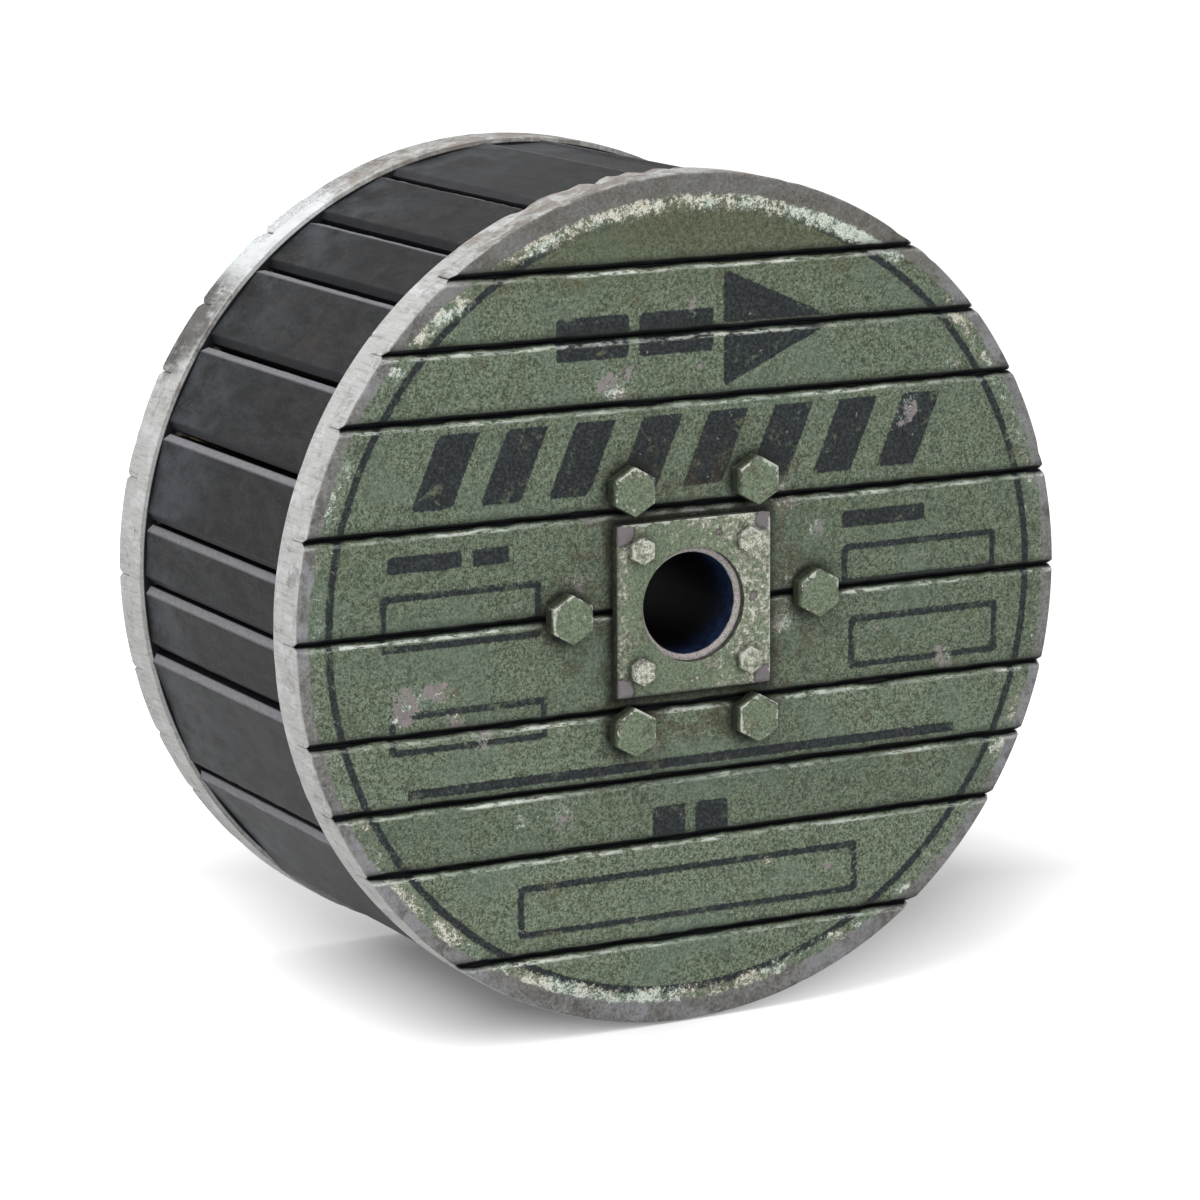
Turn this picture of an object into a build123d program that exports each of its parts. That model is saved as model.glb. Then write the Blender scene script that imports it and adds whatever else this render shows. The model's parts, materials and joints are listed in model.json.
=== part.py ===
"""Wooden cable drum, standing on its rims: the spindle axis runs along Y, the front flange faces -Y, Z is up.

Each flange is two crossed plies of boards: the outer ply lies level with V-shaped joints, and the inner ply
stands upright behind it. The flanges clamp a barrel of staves, which stand on a many-sided hoop at each end,
and six long bolts inside the barrel hold the drum together. A steel tube is the bearing for the spindle, and
a square plate screwed to each flange traps it. Lagging boards, with V-shaped joints of their own, close the
winding space between the two rims: they are nailed to a ring of bearers on the inner face of each flange.
All sizes are in millimetres, and the origin is on the spindle axis, midway between the flanges.
"""

from build123d import *
import math
import os

# Flanges
flange_diameter = 600.0
drum_width = 310.0  # over the faces of the two flanges
outer_ply = 20.0
inner_ply = 18.0
outer_joint_heights = (-238.0, -167.0, -122.0, -1.0, 143.0, 190.0, 238.0)  # all but the two by the bolts
joint_below_upper_bolts = 15.4  # from the upper row of bolts down to its joint
joint_above_lower_bolts = 12.9  # from the lower row of bolts up to its joint
outer_joint_gap = 0.6
joint_bevel_width = 3.6  # the V of a joint: half its width at the face, and its depth
joint_bevel_depth = 6.0
inner_board_width = 75.0
inner_joint_gap = 0.4
narrowest_board = 25.0

# Lagging: its joints are angles, anticlockwise from +X as seen from the front
lagging_joint_angles = (
    68.0, 85.2, 93.8, 109.4, 121.8, 132.1, 145.7, 159.0, 172.1, 180.9, 190.4, 209.1, 229.8,
    248.5, 267.2, 282.0, 300.7, 319.4, 334.2, 352.9, 371.6, 390.3, 409.0,
)
mitred_joint_angles = (85.2, 93.8, 229.8)  # joints planed to close, so that the boards meet in a ridge
lagging_thickness = 18.0
lagging_recess = 5.0  # from the rims down to the middle of a board's face
lagging_gap = 1.2
mitre_gap = 0.4
lagging_bevel = 4.5  # each board's share of the V at a joint that isn't mitred
lagging_end_clearance = 0.4
lagging_seat_clearance = 0.3
bearer_count = 12  # segments in a ring
bearer_depth = 28.0  # at the middle of a segment, from its round back to its straight front
bearer_thickness = 20.0
bearer_gap = 2.0

# Barrel
barrel_former_clearance = 4.5  # from the bolts to the hoop around them
barrel_former_width = 18.0
barrel_former_thickness = 20.0
stave_count = 16
stave_thickness = 20.0
stave_gap = 0.5
stave_seat_clearance = 0.2

# Spindle tube, and the hub plates that trap it
bore_diameter = 72.0
tube_wall = 8.0
tube_clearance = 0.5
hub_plate_side = 122.0
hub_plate_thickness = 6.0
hub_plate_lap = 4.0  # how far the plate covers the tube's end
hub_screw_inset = 18.5  # from the plate's edges
hub_screw_diameter = 10.0
hub_screw_length = 24.0
hub_screw_flats = 17.0
hub_screw_head = 6.4
screw_clearance = 0.1

# Bolts through the whole drum, each with its head at the front and a washer and nut at the rear
tie_count = 6
tie_plate_gap = 6.1  # between the hub plate and the corners of the bolt heads above and below it
tie_diameter = 20.0
tie_flats = 30.0
tie_head = 12.5
tie_nut = 16.0
tie_washer_side = 44.0
tie_washer_thickness = 3.0
tie_thread_end = 6.0  # how far a bolt stands out of its nut
tie_end_chamfer = 2.0
bolt_clearance = 0.5
nut_clearance = 0.05
hexagon_bevel = 0.8
drilled_hole_sides = 12  # bolt and screw holes are drawn with flats around their circle, to stay light

# Sizes that follow
flange_radius = flange_diameter / 2
face_offset = drum_width / 2
outer_ply_offset = face_offset - outer_ply
inner_ply_offset = outer_ply_offset - inner_ply
lagging_face = flange_radius - lagging_recess
lagging_back = lagging_face - lagging_thickness
bearer_radius = lagging_back - lagging_seat_clearance
bore_radius = bore_diameter / 2
tube_radius = bore_radius + tube_wall
hub_plate_hole_radius = tube_radius - hub_plate_lap
hub_screw_spacing = hub_plate_side - 2 * hub_screw_inset
tie_row = hub_plate_side / 2 + tie_plate_gap + tie_flats / math.sqrt(3)  # the axis to the level rows of bolts
tie_circle_radius = tie_row / math.sin(math.tau / tie_count)
barrel_former_back = tie_circle_radius + tie_diameter / 2 + barrel_former_clearance
barrel_former_face = barrel_former_back + barrel_former_width
stave_back = barrel_former_face + stave_seat_clearance
stave_face = stave_back + stave_thickness


def spans(joints, edge):
    """Pairs of neighbouring joints, from one edge of a round ply to the other."""
    inside = sorted(joint for joint in joints if abs(joint) < edge - narrowest_board)
    bounds = [-edge, *inside, edge]
    return list(zip(bounds[:-1], bounds[1:]))


def inner_joints():
    """Where the inner ply's boards meet: midway between the columns of bolts, then a board's width apart."""
    turns = [math.tau * step / tie_count for step in range(tie_count)]
    columns = sorted({round(tie_circle_radius * math.cos(turn), 3) for turn in turns})
    between = [(left + right) / 2 for left, right in zip(columns[:-1], columns[1:])]
    boards_beyond = int(flange_radius // inner_board_width)
    beyond = [between[-1] + inner_board_width * step for step in range(1, boards_beyond)]
    return [*(-joint for joint in beyond), *between, *beyond]


def tube_hole():
    """Draws the hole for the spindle tube in the open sketch."""
    Circle(tube_radius + tube_clearance)


def drilled_hole(radius):
    """Draws the hole for a bolt or screw in the open sketch."""
    RegularPolygon(radius=radius, side_count=drilled_hole_sides, major_radius=False)


def tie_holes():
    """Draws the ring of bolt holes in the open sketch."""
    with PolarLocations(tie_circle_radius, tie_count):
        drilled_hole(tie_diameter / 2 + bolt_clearance)


def screw_holes():
    """Draws the square of hub screw holes in the open sketch."""
    with GridLocations(hub_screw_spacing, hub_screw_spacing, 2, 2):
        drilled_hole(hub_screw_diameter / 2 + screw_clearance)


def outer_board(low, high):
    """A level board of the front flange's outer ply, with a planed arris at each joint."""
    with BuildPart() as board:
        with BuildSketch(Plane.XZ.offset(outer_ply_offset)):
            Circle(flange_radius)
            with Locations((0, (low + high) / 2)):
                Rectangle(2 * flange_radius, high - low - outer_joint_gap, mode=Mode.INTERSECT)
        extrude(amount=outer_ply)
        face = board.faces().sort_by(Axis.Y)[0]
        joint_edges = face.edges().filter_by(GeomType.LINE)
        chamfer(joint_edges, length=joint_bevel_width, length2=joint_bevel_depth, reference=face)
        with BuildSketch(Plane.XZ.offset(outer_ply_offset)):
            tube_hole()
            tie_holes()
            screw_holes()
        extrude(amount=outer_ply, mode=Mode.SUBTRACT)
    return board.part


def inner_boards():
    """The upright boards of the front flange's inner ply, each a solid of its own."""
    with BuildPart() as boards:
        with BuildSketch(Plane.XZ.offset(inner_ply_offset)):
            for left, right in spans(inner_joints(), flange_radius):
                with Locations(((left + right) / 2, 0)):
                    Rectangle(right - left - inner_joint_gap, flange_diameter)
            Circle(flange_radius, mode=Mode.INTERSECT)
        extrude(amount=inner_ply)
        with BuildSketch(Plane.XZ.offset(inner_ply_offset)):
            tube_hole()
            tie_holes()
        extrude(amount=inner_ply, mode=Mode.SUBTRACT)
    return boards.part


def bearers():
    """The ring of segments that the front ends of the lagging boards are nailed to."""
    with BuildPart() as ring:
        with BuildSketch(Plane.XZ.offset(inner_ply_offset - bearer_thickness)):
            Circle(bearer_radius)
            RegularPolygon(
                radius=bearer_radius - bearer_depth,
                side_count=bearer_count,
                major_radius=False,
                mode=Mode.SUBTRACT,
            )
            with PolarLocations(bearer_radius, bearer_count):
                Rectangle(4 * bearer_depth, bearer_gap, mode=Mode.SUBTRACT)
        extrude(amount=bearer_thickness)
    return ring.part


def barrel_former():
    """The hoop, with a flat for each stave, that the front ends of the staves are nailed to."""
    with BuildPart() as former:
        with BuildSketch(Plane.XZ.offset(inner_ply_offset - barrel_former_thickness)):
            for apothem, mode in (
                (barrel_former_face, Mode.ADD),
                (barrel_former_back, Mode.SUBTRACT),
            ):
                RegularPolygon(
                    radius=apothem,
                    side_count=stave_count,
                    major_radius=False,
                    rotation=180 / stave_count,
                    mode=mode,
                )
        extrude(amount=barrel_former_thickness)
    return former.part


def hub_plate():
    """The square steel plate that covers the front end of the spindle tube."""
    with BuildPart() as plate:
        with BuildSketch(Plane.XZ.offset(face_offset)):
            Rectangle(hub_plate_side, hub_plate_side)
        extrude(amount=hub_plate_thickness)
        with BuildSketch(Plane.XZ.offset(face_offset)):
            Circle(hub_plate_hole_radius)
            screw_holes()
        extrude(amount=hub_plate_thickness, mode=Mode.SUBTRACT)
    return plate.part


def hexagon(bottom, flats, height):
    """A bolt head or nut that stands along Z, with a corner towards Y and its top edges bevelled."""
    with BuildPart() as head:
        with BuildSketch(Plane.XY.offset(bottom)):
            RegularPolygon(radius=flats / 2, side_count=6, major_radius=False, rotation=30)
        extrude(amount=height)
        chamfer(head.faces().sort_by(Axis.Z)[-1].edges(), length=hexagon_bevel)
    return head.part


def hub_screws():
    """The four hexagon-headed wood screws of the front hub plate, each drawn along Z and laid on the face."""
    seat = face_offset + hub_plate_thickness
    with BuildPart() as screw:
        add(hexagon(seat, hub_screw_flats, hub_screw_head))
        with BuildSketch(Plane.XY.offset(seat)):
            Circle(hub_screw_diameter / 2)
        extrude(amount=-hub_screw_length)
    with BuildPart(Plane.XZ) as screws:
        with GridLocations(hub_screw_spacing, hub_screw_spacing, 2, 2):
            add(screw.part)
    return screws.part


def lagging_board(start, end):
    """A lagging board between two joints: a side is square, or slopes to close the joint if it is mitred."""
    half_angle = math.radians((end - start) / 2)
    middle = math.radians((start + end) / 2)
    length = 2 * (inner_ply_offset - lagging_end_clearance)
    section = Plane(
        origin=(0, length / 2, 0),
        x_dir=(math.sin(middle), 0, -math.cos(middle)),
        z_dir=(0, -1, 0),
    )

    def side(mitred):
        """Half the board's width, from its back to its face, as (width, height) points."""
        if mitred:
            heights = (lagging_back, lagging_face)
            return [(height * math.tan(half_angle) - mitre_gap / 2, height) for height in heights]
        width = lagging_back * math.tan(half_angle) - lagging_gap / 2
        return [
            (width, lagging_back),
            (width, lagging_face - lagging_bevel),
            (width - lagging_bevel, lagging_face),
        ]

    left = [(-width, height) for width, height in side(end in mitred_joint_angles)]
    right = side(start in mitred_joint_angles)
    with BuildPart() as board:
        with BuildSketch(section):
            with BuildLine():
                Polyline(*left, *reversed(right), close=True)
            make_face()
        extrude(amount=length)
    return board.part


def barrel_staves():
    """The ring of staves, each with sides that point at the axis."""
    slope = math.tan(math.pi / stave_count)
    corners = [(height, height * slope - stave_gap / 2) for height in (stave_back, stave_face)]
    with BuildPart() as staves:
        with BuildSketch(Plane.XZ.offset(-inner_ply_offset)):
            with PolarLocations(0, stave_count):
                Polygon(*corners, *[(height, -width) for height, width in reversed(corners)], align=None)
        extrude(amount=2 * inner_ply_offset)
    return staves.part


def spindle_tube():
    """The tube that the spindle turns in, as long as the drum is wide."""
    with BuildPart() as tube:
        with BuildSketch(Plane.XZ.offset(-face_offset)):
            Circle(tube_radius)
            Circle(bore_radius, mode=Mode.SUBTRACT)
        extrude(amount=drum_width)
    return tube.part


def ring_of_ties(piece):
    """One copy of a piece at each bolt, laid from Z onto the drum's axis and kept corner up."""
    with BuildPart(Plane.XZ) as ring:
        with PolarLocations(tie_circle_radius, tie_count, rotate=False):
            add(piece)
    return ring.part


def tie_bolts():
    """The six bolts, with their heads on the front flange."""
    nut_face = -face_offset - tie_washer_thickness - tie_nut
    with BuildPart() as bolt:
        add(hexagon(face_offset, tie_flats, tie_head))
        with BuildSketch(Plane.XY.offset(nut_face - tie_thread_end)):
            Circle(tie_diameter / 2)
        extrude(amount=face_offset - nut_face + tie_thread_end)
        chamfer(bolt.faces().sort_by(Axis.Z)[0].edges(), length=tie_end_chamfer)
    return ring_of_ties(bolt.part)


def tie_washers():
    """The six square timber washers on the rear flange."""
    with BuildPart() as washer:
        with BuildSketch(Plane.XY.offset(-face_offset)):
            Rectangle(tie_washer_side, tie_washer_side)
        extrude(amount=-tie_washer_thickness)
        with BuildSketch(Plane.XY.offset(-face_offset)):
            drilled_hole(tie_diameter / 2 + bolt_clearance)
        extrude(amount=-tie_washer_thickness, mode=Mode.SUBTRACT)
    return ring_of_ties(washer.part)


def tie_nuts():
    """The six nuts on the washers, with their bevelled edges outwards."""
    seat = face_offset + tie_washer_thickness
    with BuildPart() as nut:
        add(hexagon(seat, tie_flats, tie_nut))
        with BuildSketch(Plane.XY.offset(seat)):
            drilled_hole(tie_diameter / 2 + nut_clearance)
        extrude(amount=tie_nut, mode=Mode.SUBTRACT)
        mirror(about=Plane.XY, mode=Mode.REPLACE)
    return ring_of_ties(nut.part)


def write(name, part):
    """Names one piece and writes it to its file."""
    part.label = name
    export_step(part, f"parts/{name}.step")


os.makedirs("parts", exist_ok=True)

outer_joints = (*outer_joint_heights, tie_row - joint_below_upper_bolts, joint_above_lower_bolts - tie_row)
flange_pieces = {
    f"flange_board_{number:02d}": outer_board(low, high)
    for number, (low, high) in enumerate(reversed(spans(outer_joints, flange_radius)), 1)
}
flange_pieces["inner_ply"] = inner_boards()
flange_pieces["lagging_bearers"] = bearers()
flange_pieces["barrel_former"] = barrel_former()
flange_pieces["hub_plate"] = hub_plate()
flange_pieces["hub_screws"] = hub_screws()
for name, piece in flange_pieces.items():
    write(f"front_{name}", piece)
    write(f"rear_{name}", mirror(piece, about=Plane.XZ))

lagging_ends = (*lagging_joint_angles[1:], lagging_joint_angles[0] + 360)
for number, (start, end) in enumerate(zip(lagging_joint_angles, lagging_ends), 1):
    write(f"lagging_board_{number:02d}", lagging_board(start, end))

write("barrel_staves", barrel_staves())
write("spindle_tube", spindle_tube())
write("tie_bolts", tie_bolts())
write("tie_washers", tie_washers())
write("tie_nuts", tie_nuts())
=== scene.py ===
"""Wooden cable drum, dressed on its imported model: painted boards, bare rims, dark lagging and green steel.

The spindle axis runs along Y, the painted front flange faces -Y, and Z is up. Lengths are in millimetres
where a name ends in _mm and inside the functions that work out shapes, and otherwise in metres.
"""

import json
import math

import bpy
import numpy as np
from mathutils import Matrix, Vector


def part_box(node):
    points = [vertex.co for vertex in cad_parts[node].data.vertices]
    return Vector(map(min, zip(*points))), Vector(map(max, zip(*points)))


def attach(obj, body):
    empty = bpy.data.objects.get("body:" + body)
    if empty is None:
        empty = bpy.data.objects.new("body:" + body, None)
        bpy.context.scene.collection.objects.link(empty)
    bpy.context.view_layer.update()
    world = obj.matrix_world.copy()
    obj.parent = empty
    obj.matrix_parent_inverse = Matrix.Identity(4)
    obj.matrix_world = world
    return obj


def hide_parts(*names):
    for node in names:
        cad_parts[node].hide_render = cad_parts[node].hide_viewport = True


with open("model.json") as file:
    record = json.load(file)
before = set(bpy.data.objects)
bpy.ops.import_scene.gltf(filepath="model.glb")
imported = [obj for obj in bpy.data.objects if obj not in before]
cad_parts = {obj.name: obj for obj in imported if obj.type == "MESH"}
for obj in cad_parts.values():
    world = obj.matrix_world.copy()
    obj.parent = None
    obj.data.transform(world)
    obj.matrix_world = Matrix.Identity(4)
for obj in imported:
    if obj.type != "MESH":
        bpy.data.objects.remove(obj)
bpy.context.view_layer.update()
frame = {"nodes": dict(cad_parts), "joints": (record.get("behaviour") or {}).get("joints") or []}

# Outer boards of the flanges. Each flange is faced with ten level boards of softwood, sawn to the round
# together, with a V planed along every joint. The front is painted olive green and stencilled; the rims have
# worn bare.
nodes = frame["nodes"]
rim_radius_mm = max(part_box(f"front_flange_board_{number:02d}")[1].x for number in range(1, 11)) * 1000
face_mm = -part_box("front_flange_board_05")[0].y * 1000
ply_mm = face_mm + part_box("front_flange_board_05")[1].y * 1000
flange_mm = 38.0
v_width_mm = 3.6
v_depth_mm = 6.0
rim_arris_mm = 2.2
nick_reach_mm = 7.0


def graded(low, high, near, pitch):
    """Steps from low to high: the near distances in from both ends, then even steps of about the pitch
    between."""
    near = np.array([step for step in near if step < (high - low) * 0.4])
    count = max(2, round((high - low - 2 * near[-1]) / pitch) + 1)
    middle = np.linspace(low + near[-1], high - near[-1], count)
    return np.concatenate((low + near, middle[1:-1], high - near[::-1]))


def waves(across, along, seed, count, shortest, longest, stretch=1.0):
    """Smooth random relief between about -1 and 1: a sum of sine waves with random headings, wavelengths and
    phases, with the wavelengths along the second direction longer by the stretch."""
    random = np.random.default_rng(seed)
    heading = random.uniform(0, math.tau, count)
    length = shortest * (longest / shortest) ** random.uniform(0, 1, count)
    phase = random.uniform(0, math.tau, count)
    weight = np.sqrt(length)
    total = np.zeros(np.broadcast(across, along).shape)
    for turn, wave, start, size in zip(heading, length, phase, weight):
        travel = across * np.cos(turn) + along * np.sin(turn) / stretch
        total += size * np.sin(math.tau * travel / wave + start)
    return total / np.sqrt((weight**2).sum())


def arris(distance, radius):
    """How far a rounded edge falls away at a distance in from the sharp corner: the radius less the height of
    the quarter circle there. Nearer than 0.293 of the radius it stays as at the circle's middle."""
    inside = np.clip(distance, 0.293 * radius, radius)
    return radius - np.sqrt(radius**2 - (radius - inside) ** 2)


def rim_nicks(angle, depth, seed):
    """How far the rim has worn in at an angle in degrees and a depth behind the face: a slow wander, plus
    dents shaped like bells, each with its own width, depth and place across the rim."""
    random = np.random.default_rng(seed)
    worn = 0.3 + 0.2 * waves(angle * 5, depth, seed + 1, 12, 60, 300)
    for _ in range(46):
        centre = random.uniform(0, 360)
        width = random.uniform(0.2, 1.1)
        deep = random.uniform(0.2, 1.05) ** 1.5
        place = random.choice((0.0, flange_mm)) + random.normal(0, 3)
        gap = (angle - centre + 180) % 360 - 180
        worn = worn + deep * np.exp(-((gap / width) ** 2) - ((depth - place) / random.uniform(3, 12)) ** 2)
    for centre, width, deep, place, spread in ragged_top if seed == front_seed else ():
        gap = (angle - centre + 180) % 360 - 180
        worn = worn + deep * np.exp(-((gap / width) ** 2) - ((depth - place) / spread) ** 2)
    return np.clip(worn, 0.05, None)


tie_circle_mm = 97.48
tube_hole_mm = 44.5
bolt_hole_mm = 10.5
bolt_turns = np.radians(range(0, 360, 60))
bolt_places = [(tie_circle_mm * math.cos(turn), tie_circle_mm * math.sin(turn)) for turn in bolt_turns]
flange_holes = [(0.0, 0.0, tube_hole_mm)] + [(x, z, bolt_hole_mm) for x, z in bolt_places]
front_seed = 11
rear_seed = 23
ragged_top = (
    (111.5, 1.3, 2.6, 34.0, 16.0),
    (108.0, 0.9, 1.6, 4.0, 12.0),
    (104.5, 1.6, 3.0, 24.0, 16.0),
    (100.5, 1.0, 3.6, 34.0, 14.0),
    (97.0, 0.7, 2.2, 38.0, 10.0),
    (93.5, 1.1, 2.8, 38.0, 12.0),
    (89.5, 0.7, 1.9, 38.0, 9.0),
)


def block(across, deep, along, shape, turned, holes=()):
    """The skin of a block: the outer points of a lattice with a quad in each outer cell, each facing
    outwards. The shape works out the places of all the points, and any values they carry, from their lattice
    positions. Each hole, given by its centre and radius in the plan, leaves out the cells whose middles lie
    inside it, draws the points of its edge out to its circle, and gets a wall from face to back."""
    grid = np.meshgrid(across, deep, along, indexing="ij")
    skin = np.ones(grid[0].shape, bool)
    skin[1:-1, 1:-1, 1:-1] = False
    number = np.full(skin.shape, -1)
    number[skin] = np.arange(skin.sum())
    quads = []
    for axis in range(3):
        for end in (0, -1):
            side = np.take(number, end, axis)
            corners = np.stack((side[:-1, :-1], side[1:, :-1], side[1:, 1:], side[:-1, 1:]), -1)
            corners = corners.reshape(-1, 4)
            quads.append(corners[:, ::-1] if (end == 0) != (axis == 1) != turned else corners)
    places, values = shape(*(part[skin] for part in grid))
    face, back = number[:, 0, :], number[:, -1, :]
    plan = places[face][..., (0, 2)]
    middle = (plan[:-1, :-1] + plan[1:, :-1] + plan[1:, 1:] + plan[:-1, 1:]) / 4
    open_cells = np.zeros(middle.shape[:2], bool)
    for *centre, radius in holes:
        cut = np.linalg.norm(middle - centre, axis=2) < radius
        open_cells |= cut
        around = np.pad(cut, 1)
        corners = np.stack((around[:-1, :-1], around[1:, :-1], around[1:, 1:], around[:-1, 1:]))
        for layer in (face, back):
            edge = layer[corners.any(0) & ~corners.all(0)]
            offset = places[edge][:, (0, 2)] - centre
            offset *= radius / np.linalg.norm(offset, axis=1)[:, None]
            places[edge, 0], places[edge, 2] = (centre + offset).T
    for index, lost in enumerate((open_cells[:1], open_cells[-1:], open_cells, open_cells)):
        kept = ~np.broadcast_to(lost, (len(quads[index]) // lost.shape[1], lost.shape[1])).ravel()
        quads[index] = quads[index][kept]
    for before, after, first, second, outward in (
        (open_cells[:-1], open_cells[1:], np.s_[1:-1, :-1], np.s_[1:-1, 1:], True),
        (open_cells[:, :-1], open_cells[:, 1:], np.s_[:-1, 1:-1], np.s_[1:, 1:-1], False),
    ):
        wall = before != after
        corners = np.stack((face[first][wall], face[second][wall], back[second][wall], back[first][wall]), 1)
        flip = (after[wall] == outward) != turned
        quads.append(np.where(flip[:, None], corners[:, ::-1], corners))
    used, quads = np.unique(np.concatenate(quads), return_inverse=True)
    return places[used], quads.reshape(-1, 4), {title: numbers[used] for title, numbers in values.items()}


def piece(name, places_mm, quads, values, finish, body):
    """A mesh object from places in millimetres, with its values as attributes, that rides on a body."""
    mesh = bpy.data.meshes.new(name)
    mesh.vertices.add(len(places_mm))
    mesh.vertices.foreach_set("co", (places_mm / 1000).astype(np.float32).ravel())
    mesh.loops.add(quads.size)
    mesh.loops.foreach_set("vertex_index", quads.astype(np.int32).ravel())
    mesh.polygons.add(len(quads))
    mesh.polygons.foreach_set("loop_start", np.arange(0, quads.size, quads.shape[1], dtype=np.int32))
    mesh.update(calc_edges=True)
    mesh.validate()
    for title, numbers in values.items():
        mesh.attributes.new(title, "FLOAT", "POINT").data.foreach_set("value", numbers.astype(np.float32))
    mesh.materials.append(finish)
    made = bpy.data.objects.new(name, mesh)
    bpy.context.scene.collection.objects.link(made)
    mesh.shade_smooth()
    mesh.set_sharp_from_angle(angle=math.radians(38))
    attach(made, body)
    return made


def bar(x, z, left, right, low, high, slant=0.0):
    """Distance to a stencilled bar, below zero inside it: the largest of the distances past its four sides,
    with its ends leaning over by the slant from low to high."""
    lean = slant * ((z - low) / (high - low) - 0.5)
    shrink = math.hypot(1, slant / (high - low))
    return np.maximum.reduce([low - z, z - high, (left + lean - x) / shrink, (x - right - lean) / shrink])


def stencil(x, z):
    """Distance to the nearest stencilled mark on the front: a rolling arrow, a row of leaning bars, and blank
    fields for written entries, each with a short bar above it."""
    shaft = np.minimum(bar(x, z, -103, -47, 176, 206), bar(x, z, -39, 19, 176, 206))
    reach = 118 - x
    slope = 41 / 91
    height = np.abs(z - 191)
    head = np.maximum.reduce([27 - x, (height - reach * slope) / math.hypot(1, slope), 3.5 - height])
    marks = [shaft, head]
    marks += [bar(x, z, left, left + 31, 83, 134, 22) for left in np.arange(-203, 190, 52)]
    fields = ((-238, -116, -12, 28), (128, 252, -60, -22), (-232, -112, -84, -54), (122, 250, 0, 30))
    for left, right, low, high in fields:
        outer = bar(x, z, left, right, low, high)
        marks.append(np.maximum(outer, -bar(x, z, left + 5, right - 5, low + 5, high - 5)))
    marks += [
        bar(x, z, -232, -176, 42, 54),
        bar(x, z, -168, -140, 42, 54),
        bar(x, z, 122, 190, 42, 54),
        bar(x, z, -30, -4, -166, -142),
        bar(x, z, 4, 30, -166, -142),
    ]
    outer = bar(x, z, -136, 136, -224, -186)
    marks.append(np.maximum(outer, -bar(x, z, -131, 131, -219, -191)))
    return np.minimum.reduce(marks)


scars = (
    (-60, 161, 13), (-56, 149, 8), (1, 212, 9), (174, 118, 12), (181, 127, 6), (101, 44, 9),
    (-195, -40, 9), (-102, -139, 13), (-132, -140, 8), (-183, -62, 13), (-160, -78, 11), (-213, -46, 14),
    (74, 70, 14), (86, 4, 15), (72, -22, 10), (-75, 68, 8), (213, 152, 9), (0, 66, 11),
    (112, -203, 5), (62, -192, 4), (207, -60, 9), (-30, -95, 7), (30, 72, 9), (-226, -58, 9), (-88, 20, 9),
)


def scarred(x, z):
    """How much the paint has been knocked at a place on the front: bells around the places of the knocks."""
    return sum(np.exp(-((x - at_x) ** 2 + (z - at_z) ** 2) / size**2) for at_x, at_z, size in scars)


plate_outline_mm = 61.0
head_outline_mm = 16.0
washer_outline_mm = 22.0


def dirt_and_shade_round(x, z, front):
    """How much dirt and painted shade lie round the plate and the heads, or washers: falling away from
    their outlines."""
    past_plate = np.maximum(np.abs(x), np.abs(z)) - plate_outline_mm
    dirt_and_shade = np.exp(-np.clip(past_plate - 2.8, 0, None) / 3.6) * (past_plate > -6)
    for at_x, at_z in bolt_places:
        if front:
            past_head = np.hypot(x - at_x, z - at_z) - head_outline_mm
        else:
            past_head = np.maximum(np.abs(x - at_x), np.abs(z - at_z)) - washer_outline_mm
        dirt_and_shade = np.maximum(dirt_and_shade, np.exp(-np.clip(past_head - 1.2, 0, None) / 4.2))
    return dirt_and_shade


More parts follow.
